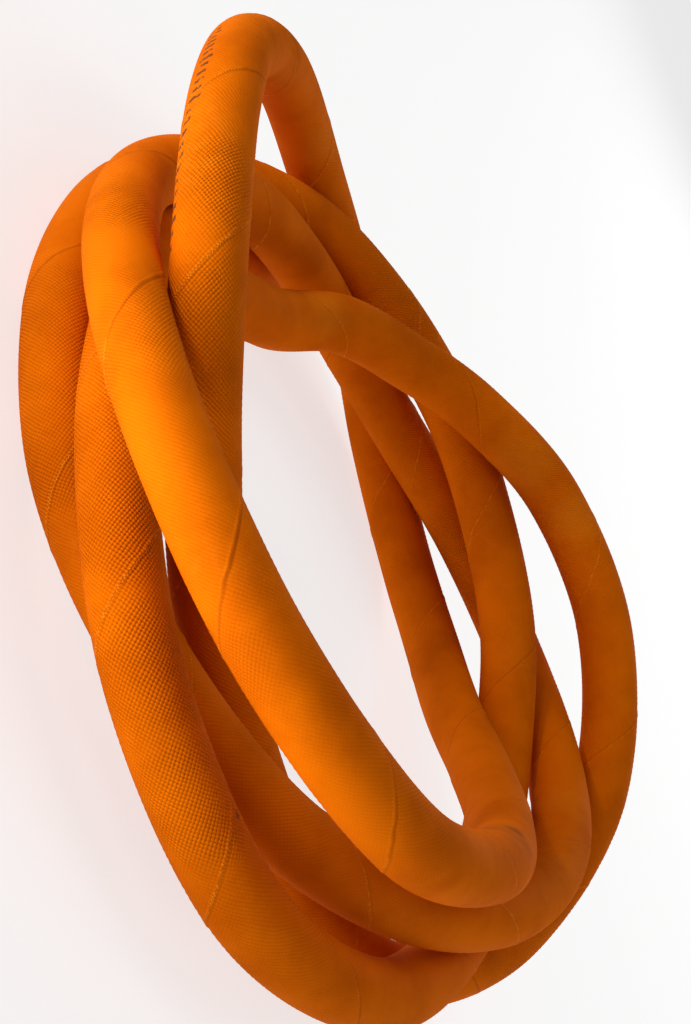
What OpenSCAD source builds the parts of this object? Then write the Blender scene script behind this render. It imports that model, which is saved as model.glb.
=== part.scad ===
// Orange rubber gas hose, 15 mm outside and 8 mm in the bore, lying in a loose coil of a little over four turns.
// The frame's origin is on the surface under the middle of the coil, with +Z up.

/* [Hose] */
// Outside diameter of the hose
hose_d = 15; // [14:0.1:15]
// Bore of the hose
bore_d = 8; // [6:0.5:9]
/* [Ends] */
// Length of the straight round stretch at each end
end_l = 28; // [20:1:28]
/* [Smoothness] */
// Sides round the outside of the coiled stretch, an even number
sides = 16; // [8:2:20]
// Rings of points from one station of the route to the next
steps = 2; // [2:1:4]

/* [Hidden] */

// The coil's stations are 22.5 degrees apart as seen from above, 16 to a turn.
// Each is the distance from the coil's middle and the height of the hose's middle.
station_step = 22.5;
first_angle = 157.5;
turn_1 = [[87, 8], [74, 10], [72, 15], [77, 20], [86, 23], [100, 23], [114, 21], [121, 20],
          [116, 22], [103, 24], [92, 26], [84, 30], [80, 35], [78, 37], [80, 37], [85, 33]];
turn_2 = [[90, 26], [90, 16], [87, 9], [86, 7.5], [89, 8], [93, 9], [97, 15], [100, 23],
          [100, 32], [99, 39], [98, 42], [98, 38], [96, 31], [90, 25], [83, 20], [76, 20]];
turn_3 = [[74, 23], [77, 25], [84, 26], [92, 26], [101, 31], [112, 40], [117, 47], [113, 51],
          [96, 50], [81, 42], [72, 32], [70, 22], [77, 14], [87, 8], [95, 9], [100, 19]];
turn_4 = [[106, 29], [107, 41], [104, 48], [100, 51], [95, 47], [86, 34], [82, 22], [85, 14],
          [95, 9], [107, 9], [115, 23], [113, 44], [100, 56], [82, 56], [66, 48], [58, 38], [53, 31]];
coil = concat(turn_1, turn_2, turn_3, turn_4);
// The middle that the distances are measured from
middle = [-1.2, 10.4];

// Where the round end stretches meet the coil: both run along Y
start_at = [-86, 70, 7.5];
finish_at = [-48.5, 1, 24];

// The swept stretch reaches this far into each round end stretch
lap = 2;
bore_sides = sides / 2;
// The sweep stands just inside the round end's surface and just outside its bore
outer_r = hose_d / 2 - 0.02;
inner_r = (bore_d / 2 + 0.05) / cos(180 / bore_sides);

function station(i) =
    let(a = first_angle + i * station_step)
    [middle[0] + coil[i][0] * cos(a), middle[1] + coil[i][0] * sin(a), coil[i][1]];
route = [start_at, for (i = [0:len(coil) - 1]) station(i), finish_at];
last = len(route) - 1;

function unit(v) = v / norm(v);
// The slope of the route at a station leans the way from the one before to the one after
function slope(i) =
    i == 0 ? [0, -norm(route[1] - route[0]), 0] :
    i == last ? [0, -norm(route[last] - route[last - 1]), 0] :
    (route[i + 1] - route[i - 1]) / 2;
// A smooth curve from station i to the next, with t from 0 to 1, and its direction
function point_at(i, t) =
    (2 * t ^ 3 - 3 * t ^ 2 + 1) * route[i] + (t ^ 3 - 2 * t ^ 2 + t) * slope(i)
    + (3 * t ^ 2 - 2 * t ^ 3) * route[i + 1] + (t ^ 3 - t ^ 2) * slope(i + 1);
function heading(i, t) = unit(
    (6 * t ^ 2 - 6 * t) * route[i] + (3 * t ^ 2 - 4 * t + 1) * slope(i)
    + (6 * t - 6 * t ^ 2) * route[i + 1] + (3 * t ^ 2 - 2 * t) * slope(i + 1));

// Where each ring stands and which way it faces
places = [for (i = [0:last - 1], k = [0:steps - 1]) [point_at(i, k / steps), heading(i, k / steps)]];
rings = concat(
    [[start_at + [0, lap, 0], [0, -1, 0]]],
    places,
    [[finish_at, [0, -1, 0]], [finish_at - [0, lap, 0], [0, -1, 0]]]);
ring_count = len(rings);

function ring(place, r, n) =
    let(side = unit(cross([0, 0, 1], place[1])), up = cross(place[1], side))
    [for (k = [0:n - 1]) place[0] + r * (cos(360 * k / n) * side + sin(360 * k / n) * up)];
// Two triangles between side k of ring i and the same side of the next ring
function band(i, k, n, first) =
    let(a = first + i * n + k, b = first + i * n + (k + 1) % n)
    [[a, a + n, b], [b, a + n, b + n]];
function turned(faces) = [for (f = faces) [f[0], f[2], f[1]]];
// The flat ring at an end: two outer sides go with each side of the bore
function end_face(i) =
    let(bore = ring_count * sides + i * bore_sides, skin = i * sides)
    [for (k = [0:bore_sides - 1])
        let(a = skin + 2 * k, b = bore + k, next_a = skin + (2 * k + 2) % sides, next_b = bore + (k + 1) % bore_sides)
        each [[a, a + 1, b], [b, a + 1, next_b], [next_b, a + 1, next_a]]];

module coiled_stretch() {
    skin = [for (p = rings) each ring(p, outer_r, sides)];
    bore = [for (p = rings) each ring(p, inner_r, bore_sides)];
    skin_faces = [for (i = [0:ring_count - 2], k = [0:sides - 1]) each band(i, k, sides, 0)];
    bore_faces = [for (i = [0:ring_count - 2], k = [0:bore_sides - 1])
        each turned(band(i, k, bore_sides, len(skin)))];
    polyhedron(
        concat(skin, bore),
        concat(skin_faces, bore_faces, end_face(0), turned(end_face(ring_count - 1))),
        convexity = 10);
}

// A straight round stretch with a true bore, from its inner end along +Z
module round_end() {
    difference() {
        cylinder(d = hose_d, h = end_l, $fn = 64);
        translate([0, 0, -1]) cylinder(d = bore_d, h = end_l + 2, $fn = 64);
    }
}

module hose() {
    color("darkorange") {
        coiled_stretch();
        translate(start_at) rotate([-90, 0, 0]) round_end();
        translate(finish_at) rotate([90, 0, 0]) round_end();
    }
}

hose();
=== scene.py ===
import math
import bpy
import numpy as np
from mathutils import Matrix, Vector


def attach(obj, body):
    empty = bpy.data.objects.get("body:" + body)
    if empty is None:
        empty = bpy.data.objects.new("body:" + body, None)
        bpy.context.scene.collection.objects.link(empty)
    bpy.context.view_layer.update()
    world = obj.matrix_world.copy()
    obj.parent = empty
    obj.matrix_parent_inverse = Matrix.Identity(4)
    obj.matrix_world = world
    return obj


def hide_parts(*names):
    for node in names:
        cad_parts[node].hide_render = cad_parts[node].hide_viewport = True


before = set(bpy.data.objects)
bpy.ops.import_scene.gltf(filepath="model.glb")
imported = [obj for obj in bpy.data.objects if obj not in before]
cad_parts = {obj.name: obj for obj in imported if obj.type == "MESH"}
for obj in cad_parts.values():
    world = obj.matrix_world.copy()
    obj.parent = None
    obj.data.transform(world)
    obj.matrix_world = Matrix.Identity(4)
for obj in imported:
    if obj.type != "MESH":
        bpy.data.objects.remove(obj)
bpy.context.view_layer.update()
print("frame loaded")


# ---- shader maths: a value wraps a socket, and an expression adds its Math nodes
class Value:
    def __init__(self, maker, socket):
        self.maker, self.socket = maker, socket

    def math(self, operation, *others, swap=False):
        inputs = [self, *others]
        if swap:
            inputs.reverse()
        return self.maker.node("ShaderNodeMath", dict(operation=operation), *inputs)

    def __add__(self, other): return self.math("ADD", other)
    def __sub__(self, other): return self.math("SUBTRACT", other)
    def __mul__(self, other): return self.math("MULTIPLY", other)
    def __radd__(self, other): return self.math("ADD", other, swap=True)
    def __rsub__(self, other): return self.math("SUBTRACT", other, swap=True)
    def __rmul__(self, other): return self.math("MULTIPLY", other, swap=True)


class Shader:
    def __init__(self, name):
        self.material = bpy.data.materials.new(name)
        self.material.use_nodes = True
        self.tree = self.material.node_tree
        self.tree.nodes.clear()

    # one node: its settings first, then the values or links of its sockets
    def node(self, kind, settings=None, *inputs, out=0, **named):
        made = self.tree.nodes.new(kind)
        for key, value in (settings or {}).items():
            if key == "stops":
                ramp = made.color_ramp
                while len(ramp.elements) < len(value):
                    ramp.elements.new(0.5)
                for element, (place, colour) in zip(ramp.elements, value):
                    element.position, element.color = place, colour
            else:
                setattr(made, key, value)
        pairs = list(enumerate(inputs)) + [(key.replace("_", " "), value) for key, value in named.items()]
        for key, value in pairs:
            if isinstance(value, Value):
                self.tree.links.new(value.socket, made.inputs[key])
            elif value is not None:
                made.inputs[key].default_value = value
        return Value(self, made.outputs[out])

    # a smooth 0 to 1 between two edges
    def ease(self, value, low, high):
        return self.node("ShaderNodeMapRange", dict(interpolation_type="SMOOTHSTEP"), value, low, high, 0.0, 1.0)

    def wave(self, value):
        return value.math("SINE")

    def noise(self, vector, scale, detail=2.0, roughness=0.5):
        return self.node("ShaderNodeTexNoise", dict(noise_dimensions="3D"), Vector=vector, Scale=scale,
                         Detail=detail, Roughness=roughness)

    def split(self, vector):
        first = self.node("ShaderNodeSeparateXYZ", None, vector)
        return [Value(self, output) for output in first.socket.node.outputs]

    def mixColour(self, factor, first, second, blend="MIX"):
        made = self.tree.nodes.new("ShaderNodeMix")
        made.data_type, made.blend_type = "RGBA", blend
        for key, value in ((0, factor), (6, first), (7, second)):
            if isinstance(value, Value):
                self.tree.links.new(value.socket, made.inputs[key])
            else:
                made.inputs[key].default_value = value
        return Value(self, made.outputs[2])

    def finish(self, shader):
        output = self.tree.nodes.new("ShaderNodeOutputMaterial")
        self.tree.links.new(shader.socket, output.inputs["Surface"])
        return self.material


# ---- the hose's route: stations 22.5 degrees apart seen from above, 16 to a turn
hoseUser = dict(
    diameter=0.015,
    bore=0.008,
    endLength=0.028,
    ringSpacing=0.0015,      # from one ring of the skin to the next
    boreSpacing=0.008,
    wrapPitch=0.050,         # one turn of the wrapping tape
    # how many turns the tape's edge is ahead of an even wrap, at distances along the hose
    wrapAhead=[(0, .50), (.24, .50), (.30, .48), (.335, .58), (.50, .15), (.77, .09), (.965, .03), (1.01, -.06),
               (1.33, -.15), (1.385, -.31), (1.49, -.37), (1.535, -.37), (1.57, -.49), (1.63, -.53), (1.955, -.76),
               (2.00, -.56), (2.34, -.76), (2.40, -.95), (2.51, -1.0)],
    lapRise=0.00010,         # the rubber line squeezed out along the tape's edge
    lapStep=0.00007,         # how far one edge of the tape stood over the other
    waver=0.00035,           # how far the lap line strays sideways
    chamfer=0.0004,
    driftRings=31,           # rings over which the tape's drift is evened out
    skinInset=0.00002,
    swell=0.00004,           # how far the round goes slightly oval
    inkAngles=[(1.950, 187), (1.962, 192), (1.974, 216), (2.0, 232)],    # degrees round at places along the hose
    inkFirst=1.930,
    inkLast=1.998,
)
route = dict(
    firstAngle=157.5,
    stationStep=22.5,
    middle=(-0.0012, 0.0104),
    startAt=(-0.086, 0.070, 0.0075),
    finishAt=(-0.0485, 0.001, 0.024),
    # distance from the middle and height, in metres
    stations=[
        (.087, .008), (.074, .010), (.072, .015), (.077, .020), (.086, .023), (.100, .023), (.114, .021), (.121, .020),
        (.116, .022), (.103, .024), (.092, .026), (.084, .030), (.080, .035), (.078, .037), (.080, .037), (.085, .033),
        (.090, .026), (.090, .016), (.087, .009), (.086, .0075), (.089, .008), (.093, .009), (.097, .015), (.100, .023),
        (.100, .032), (.099, .039), (.098, .042), (.098, .038), (.096, .031), (.090, .025), (.083, .020), (.076, .020),
        (.074, .023), (.077, .025), (.084, .026), (.092, .026), (.101, .031), (.112, .040), (.117, .047), (.113, .051),
        (.096, .050), (.081, .042), (.072, .032), (.070, .022), (.077, .014), (.087, .008), (.095, .009), (.100, .019),
        (.106, .029), (.107, .041), (.104, .048), (.100, .051), (.095, .047), (.086, .034), (.082, .022), (.085, .014),
        (.095, .009), (.107, .009), (.115, .023), (.113, .044), (.100, .056), (.082, .056), (.066, .048), (.058, .038),
        (.053, .031)],
)


# The straight ends and, between them, a curve through the stations whose slope at each
# leans from the one before to the one after, as in the part's source
def hoseLine(r, endLength, steps=24):
    turns = np.array(r["stations"], dtype=float)
    angle = np.radians(r["firstAngle"] + r["stationStep"] * np.arange(len(turns)))
    start, end, (x, y) = np.array(r["startAt"]), np.array(r["finishAt"]), r["middle"]
    coil = np.stack([x + turns[:, 0] * np.cos(angle), y + turns[:, 0] * np.sin(angle), turns[:, 1]], 1)
    p = np.vstack([start, coil, end])
    slope = np.empty_like(p)
    slope[1:-1] = (p[2:] - p[:-2]) / 2
    slope[0] = [0, -np.linalg.norm(p[1] - p[0]), 0]
    slope[-1] = [0, -np.linalg.norm(p[-1] - p[-2]), 0]
    t = (np.arange(steps) / steps)[None, :, None]
    a, b, c, d = p[:-1, None], slope[:-1, None], p[1:, None], slope[1:, None]
    curve = ((2 * t**3 - 3 * t**2 + 1) * a + (t**3 - 2 * t**2 + t) * b
             + (3 * t**2 - 2 * t**3) * c + (t**3 - t**2) * d)
    away = np.linspace(endLength, 0, 20, endpoint=False)[:, None] * np.array([0, 1.0, 0])
    return np.vstack([start + away, curve.reshape(-1, 3), end, end - away[::-1]])


# The same line with its points an even distance apart, and the distance along at each
def evenLine(line, spacing):
    along = np.concatenate([[0], np.cumsum(np.linalg.norm(np.diff(line, axis=0), axis=1))])
    count = int(round(along[-1] / spacing)) + 1
    even = np.linspace(0, along[-1], count)
    return np.stack([np.interp(even, along, line[:, k]) for k in range(3)], 1), even


# A ring's two directions: one level, square to the heading, the other square to both
def ringAxes(line):
    heading = np.gradient(line, axis=0)
    heading /= np.linalg.norm(heading, axis=1)[:, None]
    side = np.cross([0, 0, 1.0], heading)
    side /= np.linalg.norm(side, axis=1)[:, None]
    return side, np.cross(heading, side)


# The height of the skin over the hose's round, by the distance d across the tape's edge:
# a thin round line on the edge, a groove beside it, and a step that fades over 5 mm
def lapHeight(d, user):
    line = user["lapRise"] * np.exp(-(d / 0.00030)**2)
    groove = -0.4 * user["lapRise"] * np.exp(-((d + 0.0007) / 0.0005)**2)
    step = user["lapStep"] * np.where(d > 0, np.exp(-d / 0.005), 0)
    return line + groove + step


# Smooth wavering along the hose: a sum of slow sines with set phases
def waver(along, lengths, seed):
    phases = np.random.default_rng(seed).uniform(0, 2 * np.pi, len(lengths))
    return sum(np.sin(2 * np.pi * along / l + q) for l, q in zip(lengths, phases)) / len(lengths)


# The hose is one closed grid. Its rows run out along the skin, over the far cut end, back
# through the bore and over the first cut end. Its columns go round: on the skin they wind
# with the wrapping tape, so the tape's edge is a row of points, and in the bore they unwind.
# A point is centre + radius * (cos angle * side + sin angle * up).
def makeHose(user):
    line = hoseLine(route, user["endLength"])
    radius, bore = user["diameter"] / 2, user["bore"] / 2
    girth = 2 * np.pi * radius
    lean = math.atan2(girth, user["wrapPitch"])     # the tape's angle to the hose
    rings, along = evenLine(line, user["ringSpacing"])
    side, up = ringAxes(rings)
    places, ahead = np.array(user["wrapAhead"]).T
    window = np.hanning(user["driftRings"])
    padded = np.pad(np.interp(along, places, ahead), user["driftRings"] // 2, mode="edge")
    drift = np.convolve(padded, window / window.sum(), mode="valid")
    edge = 2 * np.pi * (along / user["wrapPitch"] + drift)

    # columns by the distance round from the tape's edge, close together near it
    near = np.array([-3.0, -1.9, -1.2, -0.8, -0.5, -0.25, 0, 0.22, 0.45, 0.75, 1.2, 1.9, 3.0]) * 0.001
    rest = np.linspace(near[-1], girth + near[0], 34)[1:-1]
    turn = np.concatenate([near[near >= 0], rest, girth + near[near < 0]])
    columns = len(turn)
    beside = np.minimum(turn, girth - turn)
    across = np.where(turn > girth / 2, turn - girth, turn) * math.cos(lean)

    strayed = user["waver"] * (waver(along, [0.019, 0.031, 0.047, 0.0083], 3) + 0.5 * waver(along, [0.0041, 0.0029], 4))
    angle = edge[:, None] + (turn[None] + strayed[:, None] * np.exp(-(beside / 0.004)**2)[None]) / radius
    lap = lapHeight(across, user)[None] * (0.75 + 0.45 * waver(along, [0.013, 0.029, 0.0067], 5))[:, None]
    oval = np.cos(2 * angle + 9 * along[:, None])
    swell = user["swell"] * waver(along, [0.06, 0.11, 0.023], 6)[:, None] * oval
    reach = radius - user["skinInset"] + lap + swell
    reach[[0, -1]] -= user["chamfer"]

    # the cut faces, from the skin to the bore
    face = np.array([0.78, 0.45, 0.12])[:, None] * (radius - bore) + bore + np.zeros(columns)
    inner, innerAlong = evenLine(line, user["boreSpacing"])
    innerSide, innerUp = ringAxes(inner)
    unwind = (edge[-1] - edge[0] + np.pi) % (2 * np.pi) - np.pi
    innerAngle = edge[0] + unwind * innerAlong[:, None] / along[-1] + turn[None] / radius
    three = np.ones((3, 1))
    centre = np.vstack([rings, three * rings[-1], inner[::-1], three * rings[0]])
    sides = np.vstack([side, three * side[-1], innerSide[::-1], three * side[0]])
    ups = np.vstack([up, three * up[-1], innerUp[::-1], three * up[0]])
    angles = np.vstack([angle, three * angle[-1], innerAngle[::-1], three * angle[0]])
    radii = np.vstack([reach, face, np.full(innerAngle.shape, bore), face[::-1]])
    points = centre[:, None] + radii[:, :, None] * (
        np.cos(angles)[:, :, None] * sides[:, None] + np.sin(angles)[:, :, None] * ups[:, None])
    rows = len(points)

    i, j = np.meshgrid(np.arange(rows), np.arange(columns), indexing="ij")
    below, right = (i + 1) % rows, (j + 1) % columns
    quads = np.stack([i * columns + j, i * columns + right,
                      below * columns + right, below * columns + j], -1).reshape(-1, 4)
    mesh = bpy.data.meshes.new("hose skin")
    mesh.from_pydata(points.reshape(-1, 3).tolist(), [], quads.tolist())
    mesh.polygons.foreach_set("use_smooth", np.ones(len(quads), dtype=bool))

    # Tape map: distance along the tape, s / cos lean + c * sin lean, and across it, c * cos lean.
    # Round map: distance along the hose, and round it from the line of ink marks.
    s = np.concatenate([along, [along[-1]] * 3, innerAlong[::-1], [0] * 3])
    c = np.append(turn, girth)
    sCorner = np.stack([s[i], s[i], s[below], s[below]], -1)
    sCorner[-1] = s[-1]
    cCorner = np.stack([c[j], c[j + 1], c[j + 1], c[j]], -1)
    tape = np.stack([sCorner / math.cos(lean) + cCorner * math.sin(lean), cCorner * math.cos(lean)], -1)
    inkAlong, inkAngle = np.array(user["inkAngles"]).T
    ink = np.radians(np.interp(s, inkAlong, inkAngle))
    fromInk = radius * (angles - ink[:, None])
    wrapped = girth * (right == 0)
    fromInk = np.stack([fromInk[i, j], fromInk[i, right] + wrapped,
                        fromInk[below, right] + wrapped, fromInk[below, j]], -1)
    whole = np.round(fromInk.mean(-1, keepdims=True) / girth) * girth
    roundMap = np.stack([sCorner, fromInk - whole], -1)
    for name, values in (("tape", tape), ("round", roundMap)):
        mesh.uv_layers.new(name=name).data.foreach_set("uv", values.reshape(-1).astype(np.float32))
    skin = np.zeros((rows, columns), dtype=np.float32)
    skin[1:len(rings) - 1] = 1
    mesh.attributes.new("skin", "FLOAT", "POINT").data.foreach_set("value", skin.reshape(-1))
    mesh.update()
    hose = bpy.data.objects.new("hose_skin", mesh)
    bpy.context.collection.objects.link(hose)
    print("hose", rows, "rows", columns, "columns", len(quads) * 2, "triangles, length", round(float(along[-1]), 4))
    return hose, inner, float(along[-1])


# ---- material and scene
look = dict(
    rubber=(0.66, 0.130, 0.0003),
    darkToneAndShade=(0.26, 0.026, 0.0004),     # darker rubber for the random blotches, and painted shade in the imprint's furrows and pits and in the crease beside the lap
    dusty=(0.66, 0.170, 0.006),     # rubbed and powdery places
    threadAndHighlight=(0.84, 0.250, 0.012),    # pale fibres along the lap line, and a painted highlight on the lap's step
    # grey-brown of the smudges and the ink ticks, also the painted shadow in the first, widest smudge
    sootAndShadow=(0.050, 0.030, 0.016),
    ribPitch=0.00068,               # threads that lie across the tape
    warpPitch=0.00070,              # threads that run along it
    weaveDepth=0.00028,
    grainDepth=0.00004,
    fibreDepth=0.00008,             # stray fibres along the seam
    dustDepth=0.00003,
    tickPitch=0.0028,
    tickHalfWidth=0.0011,
    specular=0.01,
    # centre, reach and strength of the dark spots, the first and widest a painted shadow cast by the strand beside it
    # and the others small grey-brown smudges, then of the pale rubbed places
    smudgesAndShadow=[((.0815, -.023, .0535), .0110, .22), ((.082, -.018, .054), .0034, .42), ((.067, -.086, .028), .0016, .70)],
    rubs=[((-.050, .016, .034), .010, .45), ((-.010, .078, .053), .012, .40), ((.006, .089, .060), .010, .45),
          ((-.098, .034, .035), .012, .35), ((.077, .057, .044), .009, .30)],
    # centre and reach of the places where the imprint is crisp and shows as dots: a stronger bump there, and stronger
    # painted shade in its pits
    crisp=[((-.033, -.081, .011), .030), ((-.010, -.088, .012), .026), ((-.006, -.096, .023), .022),
           ((.014, -.100, .026), .022), ((.040, -.101, .024), .026), ((.062, -.096, .025), .020),
           ((-.050, -.081, .053), .018), ((-.016, -.085, .044), .024), ((-.052, -.082, .035), .018),
           ((.100, .040, .030), .030), ((-.070, .080, .035), .030), ((.010, .115, .030), .034)],
)


def rgba(colour):
    return (*colour, 1.0)


# The cloth's imprint: rounded ribs |sin(pi u / p)|^0.8 across the tape, weaker threads
# |sin(pi v / q)|^0.8 along it, and a small pit wherever a furrow of one crosses one of the
# other. A spot is 1 at its centre and eases to 0 at its reach, with a ragged edge.
def hoseMaterial(user, cloth):
    s = Shader("orange rubber")
    tape = s.node("ShaderNodeUVMap", dict(uv_map="tape"))
    place = s.node("ShaderNodeTexCoord", out=3)
    u, v, _ = s.split(tape)
    skin = s.node("ShaderNodeAttribute", dict(attribute_name="skin"), out=2)
    drift = s.noise(place, 130.0, 2.0)
    u = u + (drift - 0.5) * 0.0011
    v = v + (s.noise(place, 95.0, 2.0) - 0.5) * 0.0009
    across = s.wave(u * (math.pi / cloth["ribPitch"]))
    along = s.wave(v * (math.pi / cloth["warpPitch"]))
    ribs = across.math("ABSOLUTE").math("POWER", 0.8)
    threads = along.math("ABSOLUTE").math("POWER", 0.8)
    fresh = s.ease(s.noise(place, 26.0, 3.0, 0.6), 0.36, 0.62)           # 0 where the imprint is rubbed down
    bothThreads = s.ease(s.noise(place, 17.0, 2.0, 0.5), 0.42, 0.60)    # 1 where both threads show
    ragged = s.noise(place, 160.0, 3.0) - 0.5
    crisp = None
    for at, reach in cloth["crisp"]:
        spot = s.node("ShaderNodeVectorMath", dict(operation="DISTANCE"), place, at, out=1)
        spot = 1.0 - s.ease(spot + (fresh - 0.5) * (reach * 0.4), reach * 0.45, reach)
        crisp = spot if crisp is None else crisp.math("MAXIMUM", spot)
    weave = ribs * (0.50 + 0.10 * crisp) + threads * (0.05 + 0.14 * bothThreads + 0.32 * crisp)
    dots = s.ease((1.0 - ribs) * (1.0 - threads), 0.08, 0.40)

    # distance across from the lap line, either side of it: a light line, partly pale fibres and partly a painted
    # highlight on the lap's step, and a painted shadow in the crease beside it
    girth = math.pi * user["diameter"]
    width = girth * math.cos(math.atan2(girth, user["wrapPitch"]))
    _, rawV, _ = s.split(tape)
    lap = rawV - rawV.math("GREATER_THAN", width / 2) * width
    line = 1.0 - s.ease(lap.math("ABSOLUTE"), 0.00010, 0.00042)
    creaseShadow = 1.0 - s.ease((lap + 0.00034).math("ABSOLUTE"), 0.00010, 0.00040)
    frayed = s.ease(s.noise(place, 900.0, 2.0, 0.6), 0.40, 0.62)
    shown = s.ease(s.noise(place, 34.0, 2.0, 0.5), 0.36, 0.56)

    blotch = s.noise(place, 38.0, 4.0, 0.62)
    fine = s.noise(place, 420.0, 3.0, 0.6)
    rubbed = s.ease(s.noise(place, 21.0, 4.0, 0.66), 0.57, 0.72) * s.ease(fine, 0.30, 0.75)
    colour = s.mixColour(s.ease(blotch, 0.36, 0.70) * 0.35, rgba(cloth["rubber"]), rgba(cloth["darkToneAndShade"]))
    # painted shade: the furrows between the ribs and the pits of the imprint are darkened in the colour, most where the
    # imprint is crisp
    furrowShade = (1.0 - s.ease(ribs, 0.10, 0.60)) * (0.06 + 0.10 * fresh)
    pitShade = furrowShade + dots * (0.03 + 0.06 * bothThreads + 0.22 * crisp)
    colour = s.mixColour(pitShade * skin, colour, rgba(cloth["darkToneAndShade"]))
    colour = s.mixColour(rubbed * 0.38, colour, rgba(cloth["dusty"]))
    # painted shadow beside the lap's step, weaker where the lit line is shown
    colour = s.mixColour(creaseShadow * (0.36 - 0.24 * shown) * skin, colour, rgba(cloth["darkToneAndShade"]))
    # the lap line's pale fibres, partly a painted highlight on the lap's step where it is shown; the same mask raises
    # the fibres' bump
    fibresAndHighlight = line * s.ease(ribs, 0.35, 0.80) * frayed
    colour = s.mixColour((line * 0.03 + fibresAndHighlight * shown * 0.62) * skin, colour, rgba(cloth["threadAndHighlight"]))
    # the pale rubbed places, then the dark spots; the first, widest dark spot is a painted shadow cast by the strand
    # beside it
    for spots, tint in ((cloth["rubs"], cloth["dusty"]), (cloth["smudgesAndShadow"], cloth["sootAndShadow"])):
        for at, reach, strength in spots:
            spot = s.node("ShaderNodeVectorMath", dict(operation="DISTANCE"), place, at, out=1)
            spot = 1.0 - s.ease(spot + ragged * (reach * 0.7), reach * 0.25, reach)
            colour = s.mixColour(spot * strength, colour, rgba(tint))

    # plain ink ticks in a line along the hose, with gaps: no lettering
    around = s.node("ShaderNodeUVMap", dict(uv_map="round"))
    distance, beside, _ = s.split(around)
    tick = s.ease(s.wave(distance * (2 * math.pi / cloth["tickPitch"])), 0.10, 0.45)
    longTick = s.wave(distance * (2 * math.pi / (5 * cloth["tickPitch"]))).math("GREATER_THAN", 0.55)
    halfWidth = cloth["tickHalfWidth"]
    row = 1.0 - s.ease(beside.math("ABSOLUTE") - longTick * 0.0005, halfWidth, halfWidth + 0.0003)
    ink = tick * row * s.ease(s.noise(place, 700.0, 2.0), 0.36, 0.5)
    inside = distance.math("GREATER_THAN", user["inkFirst"]) * distance.math("LESS_THAN", user["inkLast"])
    colour = s.mixColour(ink * inside * 0.8 * skin, colour, rgba(cloth["sootAndShadow"]))

    depth = (0.20 + 0.28 * fresh + 0.60 * crisp) * cloth["weaveDepth"]
    height = weave * depth + fine * cloth["grainDepth"] + fibresAndHighlight * shown * cloth["fibreDepth"]
    height = height * skin + s.noise(place, 1500.0, 2.0) * cloth["dustDepth"]
    bump = s.node("ShaderNodeBump", None, Strength=1.0, Distance=1.0, Height=height)
    rough = 0.66 + 0.14 * s.ease(blotch, 0.3, 0.7) + 0.10 * rubbed
    shader = s.node("ShaderNodeBsdfPrincipled", None, Base_Color=colour, Roughness=rough, Normal=bump)
    shader.socket.node.inputs["Specular IOR Level"].default_value = cloth["specular"]
    return s.finish(shader)


floorGlow = 0.66
worldGlow = 0.30


# A pale floor that glows a little, as a lit sweep does
def floorMaterial():
    s = Shader("pale floor")
    place = s.node("ShaderNodeTexCoord", out=3)
    tone = s.mixColour(s.noise(place, 3.0, 2.0), (0.43, 0.43, 0.429, 1), (0.45, 0.45, 0.449, 1))
    shader = s.node("ShaderNodeBsdfPrincipled", None, Base_Color=tone, Roughness=0.85)
    shader.socket.node.inputs["Emission Color"].default_value = (1, 1, 1, 1)
    shader.socket.node.inputs["Emission Strength"].default_value = floorGlow
    return s.finish(shader)


# ---- camera: from the photograph's fit, in the CAD frame
sight = dict(
    at=(0.08444, -0.36018, 0.16360),
    right=(0.25984, 0.38642, 0.88496),
    down=(0.94300, 0.09577, -0.31870),
    ahead=(-0.20791, 0.91734, -0.33951),
    lens=60.32,
)
camera = bpy.data.objects.new("camera", bpy.data.cameras.new("camera"))
bpy.context.collection.objects.link(camera)
camera.data.lens = sight["lens"]
camera.data.sensor_width = 36.0
camera.data.clip_start, camera.data.clip_end = 0.01, 60.0
camera.matrix_world = Matrix([
    (r, -d, -a, p) for r, d, a, p in zip(sight["right"], sight["down"], sight["ahead"], sight["at"])] + [(0, 0, 0, 1)])
bpy.context.scene.camera = camera

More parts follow.
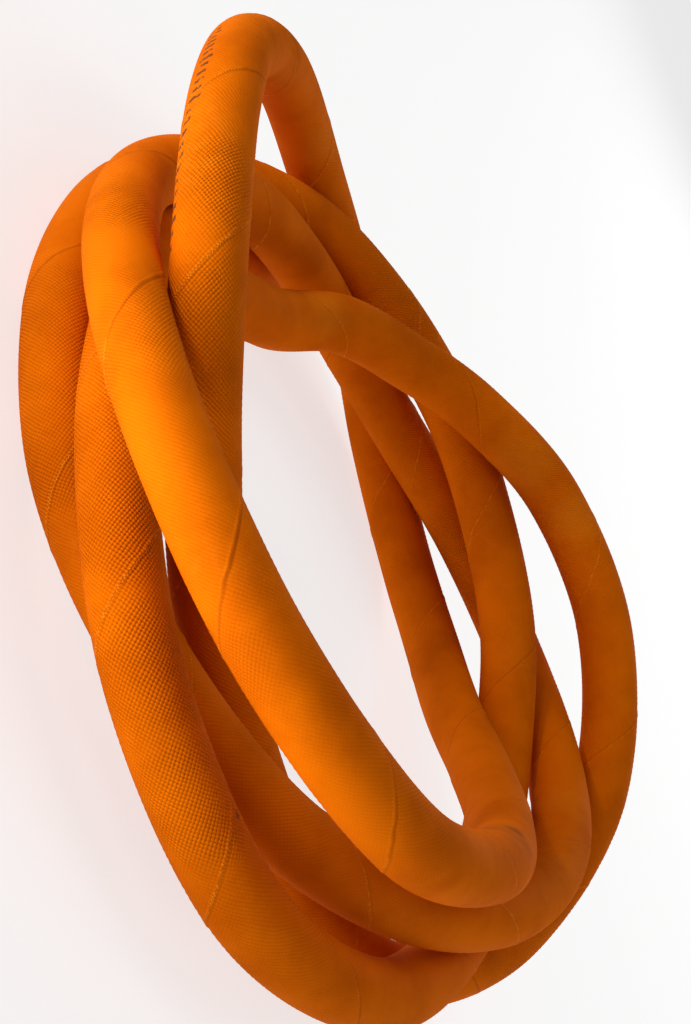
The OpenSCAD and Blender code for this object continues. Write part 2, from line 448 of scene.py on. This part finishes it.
hose, hosePath, hoseLength = makeHose(hoseUser)
hose.data.materials.append(hoseMaterial(hoseUser, look))
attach(hose, "root")
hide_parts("hose")
print("hose declared")

# ---- floor and light
floorMesh = bpy.data.meshes.new("floor")
far = 20.0
floorMesh.from_pydata([(-far, -far, 0), (far, -far, 0), (far, far, 0), (-far, far, 0)], [], [(0, 1, 2, 3)])
floorMesh.materials.append(floorMaterial())
floor = bpy.data.objects.new("floor", floorMesh)
bpy.context.collection.objects.link(floor)

lights = [
    # name, place, aimed at, width, height, watts, colour
    ("near low panel", (-0.70, -1.00, 0.20), (0, 0, 0.03), 0.5, 0.3, 2.2, (1.0, 0.99, 0.97)),
    ("left low panel", (-0.60, -0.50, 0.05), (0, 0, 0.02), 0.4, 0.1, 3.0, (1.0, 0.99, 0.97)),
    ("overhead panel", (0, 0, 1.30), (0, 0, 0), 0.8, 0.8, 2.1, (1.0, 1.0, 1.0)),
    ("back panel", (0, 1.20, 0.50), (0, 0, 0.03), 0.6, 0.5, 3.2, (1.0, 1.0, 1.0)),
    ("back right panel", (1.10, 0.60, 0.45), (0, 0, 0.03), 0.6, 0.5, 2.6, (1.0, 1.0, 1.0)),
    # a glowing card flat on the floor, outside the camera's view
    ("near card", (-0.04, -0.185, 0.003), (-0.04, -0.185, 1), 0.36, 0.11, 0.50, (1.0, 1.0, 1.0)),
]
for name, place, target, width, height, watts, tint in lights:
    data = bpy.data.lights.new(name, "AREA")
    data.shape, data.size, data.size_y, data.energy, data.color = "RECTANGLE", width, height, watts, tint
    lamp = bpy.data.objects.new(name, data)
    lamp.location = place
    lamp.rotation_euler = (Vector(place) - Vector(target)).to_track_quat("Z", "Y").to_euler()
    lamp.visible_camera = False
    bpy.context.collection.objects.link(lamp)

world = bpy.data.worlds.new("studio")
world.use_nodes = True
world.node_tree.nodes["Background"].inputs["Color"].default_value = (1, 1, 1, 1)
world.node_tree.nodes["Background"].inputs["Strength"].default_value = worldGlow
bpy.context.scene.world = world
bpy.context.scene.view_settings.view_transform = "Standard"
print("floor and lights made")
